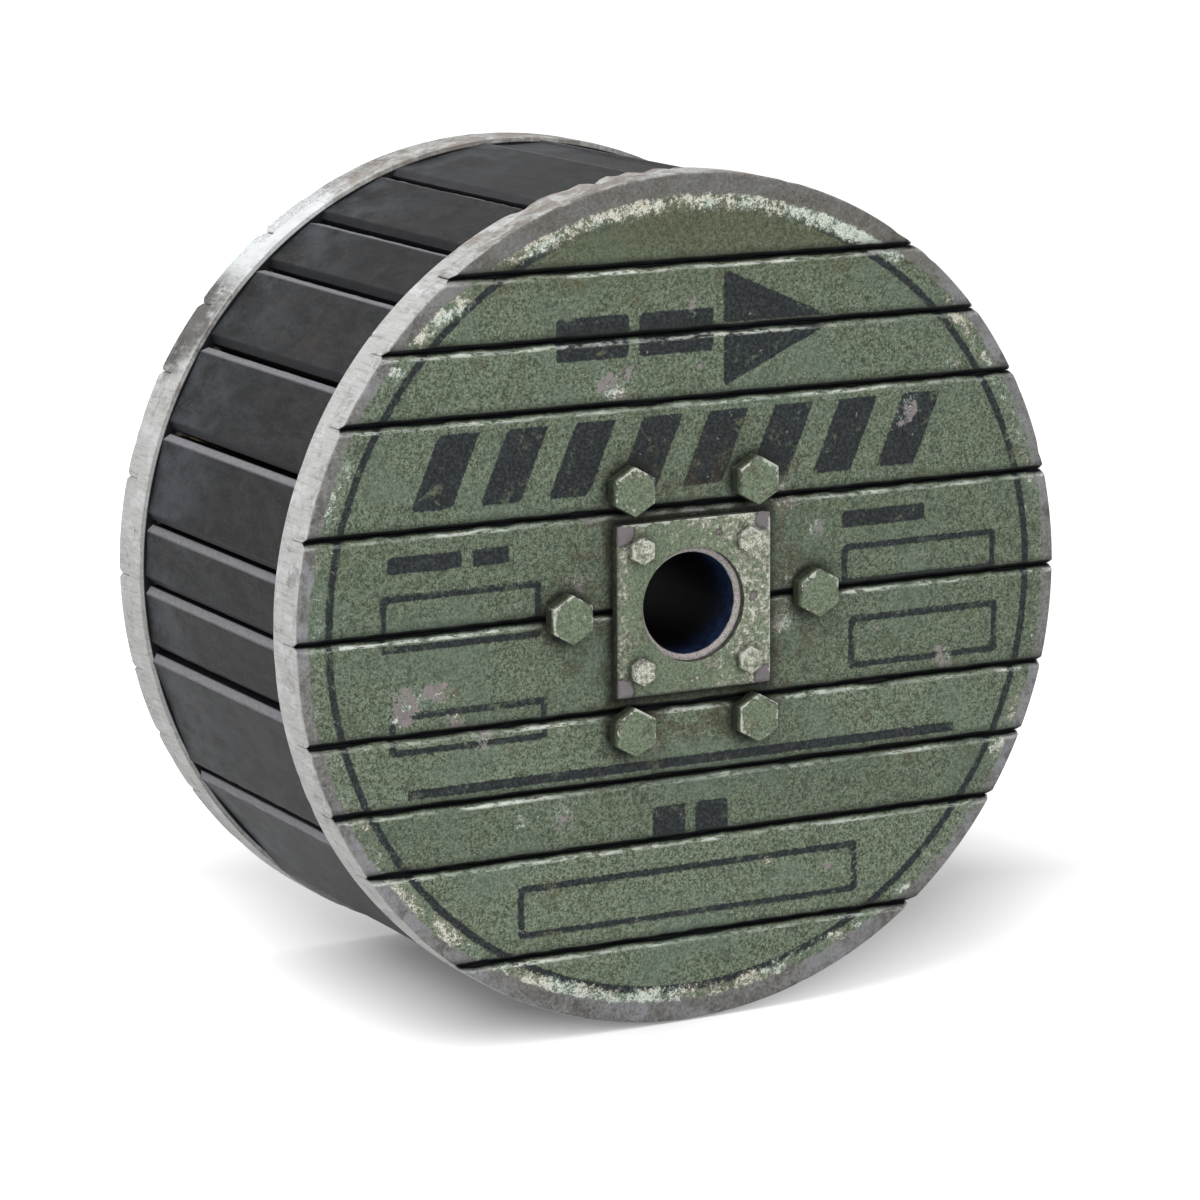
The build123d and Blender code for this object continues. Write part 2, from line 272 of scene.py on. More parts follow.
def flange_board(low, high, front, upright, bevelled, back_mm, thick_mm, seed, near, pitch):
    """A board of a round flange. A middle board has straight long edges and ends on the rim, so each point
    along it is a share of the half chord at its height; an outermost board has its rim along one edge, so
    each point across it is a share of the way from its joint to the rim. Joints fall away in a V, the rim in
    an arris, and the rim is nicked towards the axis."""
    radius = rim_radius_mm
    sign = 1 if abs(high) >= abs(low) else -1
    pole = max(abs(low), abs(high)) > radius - 1
    joint = min(abs(low), abs(high))
    rim_seed = front_seed if front else rear_seed
    random = np.random.default_rng(seed)
    sunk = random.uniform(0.0, 0.35)
    tilt = random.uniform(-0.4, 0.4) / (high - low)
    tone = random.uniform(0, 1)
    if pole:
        across = graded(0, radius - joint, near, pitch) / (radius - joint)
        reach = math.sqrt(radius**2 - (joint + 1.2) ** 2)
        along = graded(-reach, reach, near, pitch) / reach
    else:
        across = graded(low, high, near, pitch)
        reach = math.sqrt(radius**2 - min(abs(low), abs(high)) ** 2)
        along = graded(-reach, reach, near, pitch) / reach
    deep = np.array((0, 0.04, 0.1, 0.2, 0.4, 0.65, 1.0))

    def shape(first, share, last):
        if pole:
            run = last * reach
            over = sign * (joint + first * (np.sqrt(radius**2 - run**2) - joint))
            below = np.abs(over) - joint
            above = np.full_like(below, 99.0)
            if sign < 0:
                below, above = above, below
        else:
            over = first
            run = last * np.sqrt(radius**2 - over**2)
            below = over - low
            above = high - over
        distance = np.hypot(run, over)
        angle = np.degrees(np.arctan2(run, over) if upright else np.arctan2(over, run)) % 360
        inward = np.clip(radius - distance, 0, None)
        relief = sunk + tilt * (over - (low + high) / 2) + 0.12 * waves(over, run, seed, 18, 5, 40, 8)
        wander = 0.5 * waves(over * 0.3, run, seed + 5, 14, 8, 60)
        edge = np.minimum(below, above) - np.clip(wander, -1, 1.4)
        groove = v_depth_mm * np.clip(1 - edge / v_width_mm, 0, 1) if bevelled else 0.0
        outside = arris(inward, rim_arris_mm) if bevelled else 0.0
        depth = np.maximum(np.clip(relief, 0.02, None) * bevelled + outside, groove)
        behind = depth + share * (thick_mm - depth)
        from_face = behind + (0 if bevelled else ply_mm)
        wear = arris(np.minimum(from_face, flange_mm - from_face), rim_arris_mm) * (inward < 0.7)
        wear = wear + rim_nicks(angle, from_face, rim_seed) * np.clip(1 - inward / nick_reach_mm, 0, 1)
        shrink = 1 - wear / np.maximum(distance, 1)
        over, run = over * shrink, run * shrink
        flat = (over, run) if upright else (run, over)
        side = -1 if front else 1
        y = side * (back_mm + thick_mm - behind)
        values = {
            "below": below,
            "above": above,
            "inward": inward,
            "behind": from_face,
            "tone": np.full_like(below, tone),
            "mark": stencil(flat[0], flat[1]) if front and bevelled else np.full_like(below, 99.0),
            "scar": scarred(flat[0], flat[1]) if front else np.zeros_like(below),
            "dirt_and_shade": dirt_and_shade_round(flat[0], flat[1], front),
        }
        return np.stack((flat[0], y, flat[1]), 1), values

    return block(across, deep, along, shape, front != upright, flange_holes)


def tint(red, green, blue):
    """A colour as it is seen on a screen, from 0 to 255, as the linear colour that a shader wants."""
    seen = np.array((red, green, blue)) / 255
    return (*np.where(seen <= 0.04045, seen / 12.92, ((seen + 0.055) / 1.055) ** 2.4).tolist(), 1.0)


class Mixing:
    """A finish under way: its node tree, with a short word for each kind of node that the finishes use."""

    def __init__(self, name):
        self.finish = bpy.data.materials.new(name)
        self.finish.use_nodes = True
        self.tree = self.finish.node_tree
        self.skin = self.tree.nodes["Principled BSDF"]
        self.place = self.node("ShaderNodeTexCoord", {}, "Object")

    def node(self, kind, inputs, output=0, **settings):
        made = self.tree.nodes.new(kind)
        for name, value in settings.items():
            setattr(made, name, value)
        for key, value in inputs.items():
            if isinstance(value, bpy.types.NodeSocket):
                self.tree.links.new(value, made.inputs[key])
            else:
                made.inputs[key].default_value = value
        return made.outputs[output]

    def value(self, name):
        return self.node("ShaderNodeAttribute", {}, "Fac", attribute_name=name)

    def sum(self, operation, *numbers, clamp=False):
        inputs = dict(enumerate(numbers))
        return self.node("ShaderNodeMath", inputs, operation=operation, use_clamp=clamp)

    def times(self, *numbers):
        return self.sum("MULTIPLY", *numbers)

    def between(self, number, start, end):
        """0 below the start and 1 past the end, or the other way round when the end is the lower."""
        inputs = {"Value": number, "From Min": start, "From Max": end}
        return self.node("ShaderNodeMapRange", inputs, interpolation_type="SMOOTHSTEP")

    def stretched(self, x, y, z):
        return self.node("ShaderNodeMapping", {"Vector": self.place, "Scale": (x, y, z)})

    def noise(self, size_mm, detail=4.0, rough=0.6, place=None, warp=0.0):
        """Mottling whose patches are about the size given."""
        inputs = {
            "Vector": place or self.place,
            "Scale": 1000 / size_mm,
            "Detail": detail,
            "Roughness": rough,
            "Distortion": warp,
        }
        return self.node("ShaderNodeTexNoise", inputs)

    def colour(self, under, over, share):
        inputs = {"Factor": share, 6: under, 7: over}
        return self.node("ShaderNodeMix", inputs, 2, data_type="RGBA")

    def bump(self, height, distance_mm, strength):
        inputs = {"Height": height, "Distance": distance_mm / 1000, "Strength": strength}
        return self.node("ShaderNodeBump", inputs)

    def wire(self, **sockets):
        for name, value in sockets.items():
            socket = self.skin.inputs[name.replace("_", " ")]
            if isinstance(value, bpy.types.NodeSocket):
                self.tree.links.new(value, socket)
            else:
                socket.default_value = value
        return self.finish


def bare_timber(mix):
    """The colour and the height of weathered bare softwood on a rim: pale grey, crossed by faint lines that
    run with the axis, with darker bruises and brown stains, more of them near the top."""
    z = mix.node("ShaderNodeSeparateXYZ", {"Vector": mix.place}, 2)
    lines = mix.noise(1.8, 5, 0.72, mix.stretched(1, 0.07, 1))
    broad = mix.noise(14, 5, 0.7, mix.stretched(1, 0.5, 1))
    stain = mix.noise(26, 6, 0.74, warp=0.2)
    fine = mix.noise(1.2, 3, 0.7)
    colour = mix.colour(tint(156, 156, 152), tint(184, 185, 183), mix.between(lines, 0.30, 0.56))
    colour = mix.colour(colour, tint(206, 208, 209), mix.times(mix.between(broad, 0.50, 0.66), 0.7))
    upper = mix.sum("MULTIPLY_ADD", mix.between(z, 0.2, 0.29), 0.14, stain)
    colour = mix.colour(colour, tint(122, 109, 101), mix.times(mix.between(upper, 0.56, 0.70), 0.7))
    colour = mix.colour(colour, tint(92, 90, 88), mix.times(mix.between(stain, 0.41, 0.30), 0.5))
    colour = mix.colour(colour, tint(112, 110, 106), mix.times(mix.between(fine, 0.54, 0.74), 0.4))
    # A pale spot high on the rear rim, of splintered wood and a painted highlight, and a dark bruise.
    fresh_and_lit = ((-0.175, 0.16, 0.243), tint(226, 230, 233), 0.075)
    bruised = ((-0.243, 0.16, 0.176), tint(58, 52, 49), 0.060)
    for spot, look, size in (fresh_and_lit, bruised):
        away = mix.node("ShaderNodeVectorMath", {0: mix.place, 1: spot}, 1, operation="DISTANCE")
        away = mix.sum("MULTIPLY_ADD", mix.sum("SUBTRACT", broad, 0.5), size * 1.6, away)
        colour = mix.colour(colour, look, mix.times(mix.between(away, size, size * 0.45), 0.8))
    return colour, mix.sum("MULTIPLY_ADD", fine, 0.5, lines)


def painted_boards():
    """Olive paint, speckled and mottled, with the stencil marks, the ring and the rule over it; flaked to
    cream and mint primer beside a band of bare wood at the rim, rubbed pale with a painted highlight along
    the top of each joint, with painted shade under the lower edge of each board, dirt and painted shade in
    its V, and dirt and painted shade round the plate and the heads."""
    mix = Mixing("worn_olive_paint_on_boards")
    below, above = mix.value("below"), mix.value("above")
    inward, behind = mix.value("inward"), mix.value("behind")
    scar, dirt_and_shade = mix.value("scar"), mix.value("dirt_and_shade")
    x = mix.node("ShaderNodeSeparateXYZ", {"Vector": mix.place})
    z = x.node.outputs[2]
    flat = mix.node("ShaderNodeCombineXYZ", {"X": x, "Z": z})
    radius = mix.node("ShaderNodeVectorMath", {0: flat}, 1, operation="LENGTH")
    high = mix.sum("ABSOLUTE", z)

    fine = mix.noise(1.1, 2, 0.6)
    speckle = mix.noise(2.3, 3, 0.7)
    flakes = mix.noise(3.2, 5, 0.75, warp=0.5)
    mottle = mix.noise(17, 5, 0.68, warp=0.4)
    patch = mix.noise(70, 4, 0.6, warp=0.5)
    grain = mix.noise(3.0, 4, 0.6, mix.stretched(0.1, 1, 1))
    paint = mix.colour(tint(60, 72, 55), tint(132, 144, 122), mix.between(speckle, 0.33, 0.66))
    paint = mix.colour(paint, tint(170, 177, 160), mix.times(mix.between(fine, 0.53, 0.72), 0.8))
    paint = mix.colour(paint, tint(34, 42, 34), mix.times(mix.between(fine, 0.46, 0.30), 0.65))
    paint = mix.colour(paint, tint(88, 82, 56), mix.times(mix.between(mottle, 0.53, 0.70), 0.5))
    paint = mix.colour(paint, tint(52, 60, 46), mix.times(mix.between(mottle, 0.45, 0.32), 0.55))
    paint = mix.colour(paint, tint(108, 126, 112), mix.times(mix.between(patch, 0.5, 0.66), 0.4))
    paint = mix.colour(paint, tint(46, 55, 42), mix.times(mix.value("tone"), 0.24))
    paint = mix.colour(paint, tint(74, 74, 48), mix.times(mix.between(z, 0.205, 0.265), 0.5))

    ragged = mix.sum("MULTIPLY_ADD", mix.noise(4, 4, 0.75), 0.0034, -0.0017)
    ring = mix.sum("ABSOLUTE", mix.sum("SUBTRACT", radius, 0.2755))
    ring = mix.between(mix.sum("ADD", ring, ragged), 0.0034, 0.0020)
    ring_left = mix.between(mix.sum("MULTIPLY_ADD", mottle, 0.03, z), 0.276, 0.258)
    ring = mix.times(ring, mix.sum("MULTIPLY_ADD", ring_left, 0.85, 0.15))
    rule_height = mix.sum("ABSOLUTE", mix.sum("SUBTRACT", z, -0.1115))
    rule_reach = mix.sum("SUBTRACT", mix.sum("ABSOLUTE", mix.sum("ADD", x, 0.001)), 0.2175)
    rule = mix.sum("MAXIMUM", mix.sum("SUBTRACT", rule_height, 0.0035), rule_reach)
    rule = mix.between(mix.sum("ADD", rule, ragged), 0.0006, -0.0006)
    mark = mix.sum("ADD", mix.times(mix.value("mark"), 0.001), ragged)
    mark = mix.between(mark, 0.0006, -0.0006)
    stencilled = mix.sum("MAXIMUM", mix.sum("MAXIMUM", ring, rule), mark)
    rubbed = mix.between(mix.sum("MULTIPLY_ADD", flakes, 0.35, mix.times(mottle, 0.65)), 0.66, 0.54)
    stencilled = mix.times(mix.times(stencilled, rubbed), 0.95)
    black = mix.colour(tint(15, 18, 24), tint(52, 57, 62), mix.between(speckle, 0.38, 0.74))
    paint = mix.colour(paint, black, stencilled)

    band_width = mix.sum("MULTIPLY_ADD", mix.between(high, 0.19, 0.285), 6.0, 9.5)
    edge = mix.sum("MULTIPLY_ADD", mix.noise(8, 6, 0.75), 12.0, -6.0)
    from_band = mix.sum("SUBTRACT", mix.sum("ADD", inward, edge), band_width)
    cluster = mix.between(mix.noise(55, 4, 0.6), 0.40, 0.56)
    level = mix.sum("MULTIPLY_ADD", mix.between(high, 0.05, 0.22), 0.5, 0.5)
    share = mix.times(mix.sum("MULTIPLY_ADD", cluster, 0.75, 0.25), level)
    share = mix.sum("MAXIMUM", share, mix.times(mix.between(z, 0.225, 0.255), 0.86))
    zone = mix.times(mix.between(from_band, 18.5, 5), share)
    hub_share = mix.times(mix.between(radius, 0.15, 0.07), mix.between(x, -0.09, 0.05))
    likely = mix.sum("MULTIPLY_ADD", zone, 0.245, mix.times(scar, 0.17))
    likely = mix.sum("MULTIPLY_ADD", hub_share, 0.06, likely)
    chips = mix.sum("MULTIPLY_ADD", flakes, 0.62, mix.sum("MULTIPLY_ADD", mottle, 0.38, likely))
    washed = mix.between(chips, 0.60, 0.74)
    chipped = mix.between(mix.sum("MULTIPLY_ADD", fine, 0.16, chips), 0.755, 0.815)
    warmth = mix.between(mix.noise(42, 3, 0.5), 0.46, 0.56)
    pale = mix.colour(tint(168, 190, 178), tint(182, 178, 156), warmth)
    face = mix.colour(paint, mix.colour(paint, pale, 0.45), washed)
    face = mix.colour(face, mix.colour(pale, tint(226, 226, 214), mix.between(fine, 0.36, 0.62)), chipped)
    bare_spot = mix.between(mix.sum("MULTIPLY_ADD", scar, 0.18, mix.noise(10, 5, 0.7)), 0.67, 0.70)
    face = mix.colour(face, tint(142, 134, 134), bare_spot)

    band = mix.colour(tint(98, 97, 93), tint(138, 137, 136), mix.between(speckle, 0.28, 0.7))
    band = mix.colour(band, tint(152, 154, 160), mix.times(mix.between(patch, 0.48, 0.6), 0.5))
    band = mix.colour(band, tint(84, 80, 72), mix.times(mix.between(mottle, 0.5, 0.66), 0.6))
    band = mix.colour(band, tint(96, 93, 80), mix.times(mix.between(z, 0.16, 0.27), 0.45))
    face = mix.colour(face, band, mix.between(from_band, 1.2, -1.2))

    # Along the top edge of each board, where the V faces up: bare wood rubbed pale, and a painted highlight.
    fibre = mix.between(mix.noise(3.0, 5, 0.75, mix.stretched(0.35, 1, 1)), 0.42, 0.54)
    worn_and_lit_here = mix.between(mix.noise(60, 4, 0.65, mix.stretched(1, 1, 3)), 0.42, 0.64)
    worn_and_lit_here = mix.sum("MULTIPLY_ADD", worn_and_lit_here, 0.75, 0.25)
    lip = mix.times(mix.between(above, 5.4, 3.4), mix.between(behind, 3.0, 1.2))
    lip = mix.times(mix.times(lip, worn_and_lit_here), fibre)
    face = mix.colour(face, tint(214, 220, 210), lip)
    # Painted shade under the lower edge of each board, above the V.
    face = mix.colour(face, tint(28, 33, 28), mix.times(mix.between(below, 9, 1.0), 0.8))
    smudge = mix.times(mix.between(radius, 0.135, 0.075), mix.between(mottle, 0.46, 0.60))
    face = mix.colour(face, tint(66, 55, 36), mix.times(smudge, 0.5))
    # Dirt and painted shade round the plate and the heads, broken up by the flakes.
    broken = mix.sum("MULTIPLY_ADD", flakes, 0.9, 0.5, clamp=True)
    face = mix.colour(face, tint(18, 18, 13), mix.times(dirt_and_shade, broken))
    # Dirt and painted shade deep in each V and on the bevel that faces down.
    dark = mix.sum("MAXIMUM", mix.between(behind, 2.8, 4.6), mix.between(below, 3.9, 2.4))
    face = mix.colour(face, tint(6, 9, 12), mix.times(dark, mix.between(inward, 0.4, 1.3)))
    bare_colour, lines = bare_timber(mix)
    on_rim = mix.times(mix.between(inward, 1.5, 0.6), mix.between(behind, 0.3, 1.3))
    face = mix.colour(face, bare_colour, on_rim)

    height = mix.sum("MULTIPLY_ADD", fine, 0.5, mix.times(grain, 0.5))
    height = mix.sum("MULTIPLY_ADD", speckle, 0.9, height)
    height = mix.sum("SUBTRACT", height, mix.times(chipped, 0.6))
    normal = mix.bump(height, 0.7, 0.9)
    rough = mix.sum("MULTIPLY_ADD", mix.between(mottle, 0.2, 0.9), 0.2, 0.6)
    return mix.wire(Base_Color=face, Roughness=rough, Specular_IOR_Level=0.22, Normal=normal)


olive_boards = painted_boards()
near_steps = (0, 0.6, 1.3, 2.2, 3.0, 3.8, 4.8, 6.5, 9.0)
for side, front in (("front", True), ("rear", False)):
    for number in range(1, 11):
        name = f"{side}_flange_board_{number:02d}"
        low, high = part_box(name)
        seed = number * 7 + (0 if front else 300)
        pitch = 4.0 if front else 7.0
        mesh = flange_board(
            low.z * 1000, high.z * 1000, front, False, True,
            face_mm - ply_mm, ply_mm, seed, near_steps, pitch,
        )
        board = piece(f"{side}_board_{number:02d}", *mesh, olive_boards, "drum")
        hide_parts(name)


# Inner plies. Eight upright boards behind each faced side, nailed across it; only their rims and the narrow
# ledge outside the lagging are seen, in bare timber worn together with the outer boards.
inner_ply_mm = 18.0
upright_joints = (-300.0, -223.1, -148.1, -73.1, 0.0, 73.1, 148.1, 223.1, 300.0)
upright_gap_mm = 0.2
rim_steps = (0, 0.8, 1.8, 3.2, 5.0, 8.0, 14.0)
joints = {joint["name"]: joint for joint in frame["joints"]}


def packed_corners(name):
    """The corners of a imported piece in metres, with a row for each."""
    vertices = nodes[name].data.vertices
    places = np.empty(len(vertices) * 3, np.float32)
    vertices.foreach_get("co", places)
    return places.reshape(-1, 3).astype(float)


lagging_radius = max(packed_corners("lagging_board_01") @ np.array(joints["lagging_01_pull"]["axis"]))


def plain_timber():
    """Bare weathered timber, as on the rim, for the pieces that were never painted; painted shade on the
    ledge where it meets the lagging and a little way in under it; cleaner and warmer in the shelter
    behind the lagging."""
    mix = Mixing("bare_weathered_timber")
    colour, lines = bare_timber(mix)
    x = mix.node("ShaderNodeSeparateXYZ", {"Vector": mix.place})
    flat = mix.node("ShaderNodeCombineXYZ", {"X": x, "Z": x.node.outputs[2]})
    radius = mix.node("ShaderNodeVectorMath", {0: flat}, 1, operation="LENGTH")
    within = mix.sum("SUBTRACT", lagging_radius, radius)
    grain = mix.noise(5, 5, 0.65, mix.stretched(1, 0.08, 0.3))
    pine = mix.colour(tint(112, 88, 62), tint(164, 138, 102), mix.between(grain, 0.32, 0.66))
    colour = mix.colour(colour, pine, mix.times(mix.between(within, 0.006, 0.014), 0.8))
    # Painted shade where the lagging meets the ply, and for a little way in under the lagging.
    shade_by_lagging = mix.times(mix.between(within, -0.0016, -0.0006), mix.between(within, 0.012, 0.006))
    colour = mix.colour(colour, tint(13, 14, 16), shade_by_lagging)
    return mix.wire(
        Base_Color=colour, Roughness=0.8, Specular_IOR_Level=0.25, Normal=mix.bump(lines, 0.3, 0.6)
    )


bare_boards = plain_timber()
for side, front in (("front", True), ("rear", False)):
    for number, (left, right) in enumerate(zip(upright_joints[:-1], upright_joints[1:]), 1):
        mesh = flange_board(
            left + upright_gap_mm * (left > -299), right - upright_gap_mm * (right < 299), front, True, False,
            face_mm - ply_mm - inner_ply_mm, inner_ply_mm, 500 + number, rim_steps, 5.0,
        )
        board = piece(f"{side}_inner_board_{number}", *mesh, bare_boards, "drum")
        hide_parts(f"{side}_inner_ply")


# Lagging. Twenty-three softwood boards painted a dark blue-grey, nailed down on the bearers to close the
# drum. Each joint is a V, apart from a few mitred ones. The bevel that faces the sky is rubbed pale and
# carries a painted highlight; painted shade lies on the bevel that faces the ground and deep in each V.
def lagging_board(sides, face_at, back_at, reach, skyward, seed):
    """A board across the drum. Each side gives the board's half width at its face and at its back: where the
    face is the narrower the edge falls away in a bevel, and where it is the wider the whole side slopes."""
    thick = face_at - back_at
    (left_face, left_back), (right_face, right_back) = sides
    widest = right_back - left_back
    across = graded(0, widest, (0, 0.7, 1.6, 2.6, 3.7, 4.6, 5.6, 7.5, 10), 5.0) / widest
    deep = np.array((0, 0.06, 0.14, 0.3, 0.6, 1.0))
    along = graded(-reach, reach, (0, 0.8, 2.0, 4.0), 5.0)
    random = np.random.default_rng(seed)
    sunk = random.uniform(0.0, 0.7)
    tone = random.uniform(0, 1)

    def shape(share, down, y):
        left = left_back + min(left_face - left_back, 0) * (1 - down)
        right = right_back + max(right_face - right_back, 0) * (1 - down)
        t = left + (right - left) * share
        drop = arris(reach - np.abs(y), 0.8) + 0.1 + 0.35 * (1 - (2 * share - 1) ** 2)
        drop = drop + 0.1 * waves(t, y, seed + 3, 14, 6, 40, 8)
        bevels = []
        for gap, bevel in ((t - left, left_face - left_back), (right - t, right_back - right_face)):
            wander = 0.3 * waves(gap * 0.2, y, seed + 9, 10, 8, 60)
            if bevel > 1:
                drop = drop + np.clip(bevel + wander - gap, 0, bevel)
                bevels.append(np.clip((bevel + 0.6 - gap) / 1.0, 0, 1))
            else:
                drop = drop + arris(gap - wander, 1.2)
                bevels.append(np.clip((2.0 - gap) / 1.5, 0, 1) * 0.6)
        depth = sunk + np.clip(drop, 0, None)
        height = face_at - depth - down * (thick - depth)
        # A bevel that faces the sky gets a painted highlight, and one that faces the ground painted shade.
        pale = bevels[0] * np.clip(0.5 - skyward, 0, 1) + bevels[1] * np.clip(0.5 + skyward, 0, 1)
        dark = bevels[0] * np.clip(0.5 + skyward, 0, 1) + bevels[1] * np.clip(0.5 - skyward, 0, 1)
        values = {"pale": pale, "dark": dark, "behind": face_at - height, "tone": np.full_like(t, tone)}
        return np.stack((t, height, y), 1), values

    return block(across, deep, along, shape, True)


def dark_paint():
    """Dark blue-grey paint, with brown rubbing drawn out along each board and bluish-grey patches towards
    its rear end; bevels rubbed pale with a painted highlight where they face the sky, and painted shade
    where they face the ground and deep in each V.
    """
    mix = Mixing("dark_lagging_paint")
    y = mix.node("ShaderNodeSeparateXYZ", {"Vector": mix.place}, 1)
    streaks = mix.noise(8, 6, 0.68, mix.stretched(1, 0.3, 1))
    cloud = mix.noise(36, 5, 0.62, warp=0.7)
    haze = mix.noise(30, 6, 0.72, mix.stretched(1, 0.6, 1))
    fine = mix.noise(1.7, 4, 0.7)
    colour = mix.colour(tint(13, 14, 15), tint(41, 42, 44), mix.between(streaks, 0.3, 0.72))
    colour = mix.colour(colour, tint(12, 13, 14), mix.times(mix.value("tone"), 0.5))
    colour = mix.colour(colour, tint(50, 45, 41), mix.times(mix.between(cloud, 0.5, 0.7), 0.6))
    hazed = mix.times(mix.between(haze, 0.38, 0.68), mix.between(y, -0.04, 0.12))
    colour = mix.colour(colour, tint(76, 83, 89), mix.times(hazed, 0.6))
    colour = mix.colour(colour, tint(92, 92, 92), mix.times(mix.between(fine, 0.53, 0.78), 0.4))
    colour = mix.colour(colour, tint(10, 11, 13), mix.times(mix.between(fine, 0.46, 0.25), 0.6))
    rubbed = mix.sum("MULTIPLY_ADD", mix.between(fine, 0.35, 0.6), 0.3, 0.55)
    # Bevels facing the sky rubbed pale with a painted highlight; painted shade on those facing the ground and
    # deep in each V.
    colour = mix.colour(colour, tint(140, 139, 144), mix.times(mix.value("pale"), rubbed))
    colour = mix.colour(colour, tint(8, 10, 16), mix.times(mix.value("dark"), 0.9))
    colour = mix.colour(colour, tint(4, 5, 8), mix.between(mix.value("behind"), 4.2, 6.0))
    return mix.wire(
        Base_Color=colour, Roughness=0.62, Specular_IOR_Level=0.16,
        Normal=mix.bump(mix.sum("ADD", streaks, fine), 0.4, 0.7),
    )


dark_boards = dark_paint()
for number in range(1, 24):
    name = f"lagging_board_{number:02d}"
    out = np.array(joints[f"lagging_{number:02d}_pull"]["axis"])
    right_hand = np.array((out[2], 0, -out[0]))
    points = packed_corners(name) * 1000
    height, width = points @ out, points @ right_hand
    on_face = width[height > height.max() - 0.1]
    on_back = width[height < height.min() + 0.1]
    sides = ((on_face.min(), on_back.min()), (on_face.max(), on_back.max()))
    reach = np.abs(points[:, 1]).max()
    seed = 900 + number
    places, quads, values = lagging_board(sides, height.max(), height.min(), reach, right_hand[2], seed)
    spread = places[:, :1] * right_hand + places[:, 1:2] * out + places[:, 2:] * np.array((0, 1, 0))
    board = piece(f"lagging_{number:02d}_board", spread, quads, values, dark_boards, f"lagging_{number:02d}")
    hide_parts(name)


# Barrel. Sixteen staves nailed on a hoop at each end, which the cable is wound on, and the bearers that the
# lagging is nailed to. All are rough sawn and were never painted.
for name in (
    "barrel_staves",
    "front_barrel_former",
    "rear_barrel_former",
    "front_lagging_bearers",
    "rear_lagging_bearers",
):
    nodes[name].data.materials.clear()
    nodes[name].data.materials.append(bare_boards)


# Hub. A steel tube, navy inside, trapped at each end by a square plate with four hexagon-headed wood screws.
# The plates and screws were painted over with the boards, and have chipped to cream primer and to grey metal.
def turned(rows, sides, steps, closed):
    """A piece worked round an axis along Y. Each row of its profile gives a place along the axis, a distance
    from it, and a share from round to many-sided, whose outline is a soft maximum of its flats. The rows
    close on themselves, or end at a point on the axis at each end. Faces point outwards when the profile
    starts at the front's middle, or up the hole from the back."""
    turn = np.arange(steps) * math.tau / steps
    flats = np.arange(sides) * math.tau / sides
    outline = (np.clip(np.cos(turn[:, None] - flats), 0, None) ** 90).sum(1) ** (-1 / 90)
    y, reach, many_sided = np.array(rows, float).T[..., None]
    radius = reach * (1 + many_sided * (outline - 1))
    places = np.stack(np.broadcast_arrays(radius * np.cos(turn), y, radius * np.sin(turn)), -1)
    number = np.arange(len(rows) * steps).reshape(-1, steps)
    ahead = np.roll(number, -1, 1)
    if closed:
        number, ahead = np.vstack((number, number[:1])), np.vstack((ahead, ahead[:1]))
    quads = [np.stack((number[:-1], number[1:], ahead[1:], ahead[:-1]), -1).reshape(-1, 4)]
    points = [places.reshape(-1, 3)]
    if not closed:
        for end, middle in ((0, len(rows) * steps), (-1, len(rows) * steps + 1)):
            ring = number[end]
            fan = np.stack((np.full(steps // 2, middle), ring[::2], ring[1::2], np.roll(ring, -2)[::2]), 1)
            quads.append(fan if end == 0 else fan[:, ::-1])
            points.append([(0, rows[end][0], 0)])
    return np.concatenate(points), np.concatenate(quads)


def hexagon_head(front, flats, height):
    """The profile rows of a hexagon head, from the middle of its face to the foot of its sides, with a
    softened edge. They start near the axis, where the face closes to a point."""
    half = flats / 2
    face = [(front, reach, 1) for reach in (0.3 * half, 0.6 * half, 0.8 * half, half - 1.6, half - 0.9)]
    edge = [(front + 0.12, half - 0.45, 1), (front + 0.45, half - 0.12, 1)]
    return face + edge + [(front + down, half, 1) for down in (0.9, 1.6, 0.5 * height, height - 0.02)]


def head_values(points, front, flats, chip):
    """The values a hexagon head carries: the distance in from its sharp edges, which are its outline on the
    face, and its front and its corners on the sides, made larger on the lower edges so that the pale wear
    and painted highlight keep to the upper ones; how readily it chips; and the dirt and painted shade low on
    its sides."""
    turn = np.arctan2(points[:, 2], points[:, 0])
    radius = np.hypot(points[:, 0], points[:, 2])
    turn = (turn + math.pi / 6) % (math.pi / 3) - math.pi / 6
    in_from_outline = flats / 2 - radius * np.cos(turn)
    from_corner = (math.pi / 6 - np.abs(turn)) * radius
    side = in_from_outline < 0.2
    down = points[:, 1] - front
    edge = np.where(side, np.minimum(down, from_corner + 1.2), in_from_outline)
    # Lower edges count as further in, so the pale wear, partly a painted highlight, keeps to the upper edges.
    edge = edge + np.clip(0.3 - points[:, 2] / flats * 2.6, 0, 1.8)
    return {
        "edge": edge,
        "chip": np.full(len(points), chip),
        "bare": 10.5 * np.clip(1 - edge / 4.5, 0, 1) - 9.5,
        # Dirt and painted shade, darker down the sides towards the foot.
        "dirt_and_shade": np.clip((down - 0.8) / 4, 0, 1) * 0.92,
    }


def copies(points, quads, values, places, flip=False):
    """The same piece at each place on the flange, or, flipped, turned over to the rear."""
    sign = -1 if flip else 1
    spread = [points * (1, sign, 1) + (x, 0, z) for x, z in places]
    faces = [quads[:, ::-sign] + number * len(points) for number in range(len(places))]
    values = {name: np.tile(numbers, len(places)) for name, numbers in values.items()}
    return np.concatenate(spread), np.concatenate(faces), values


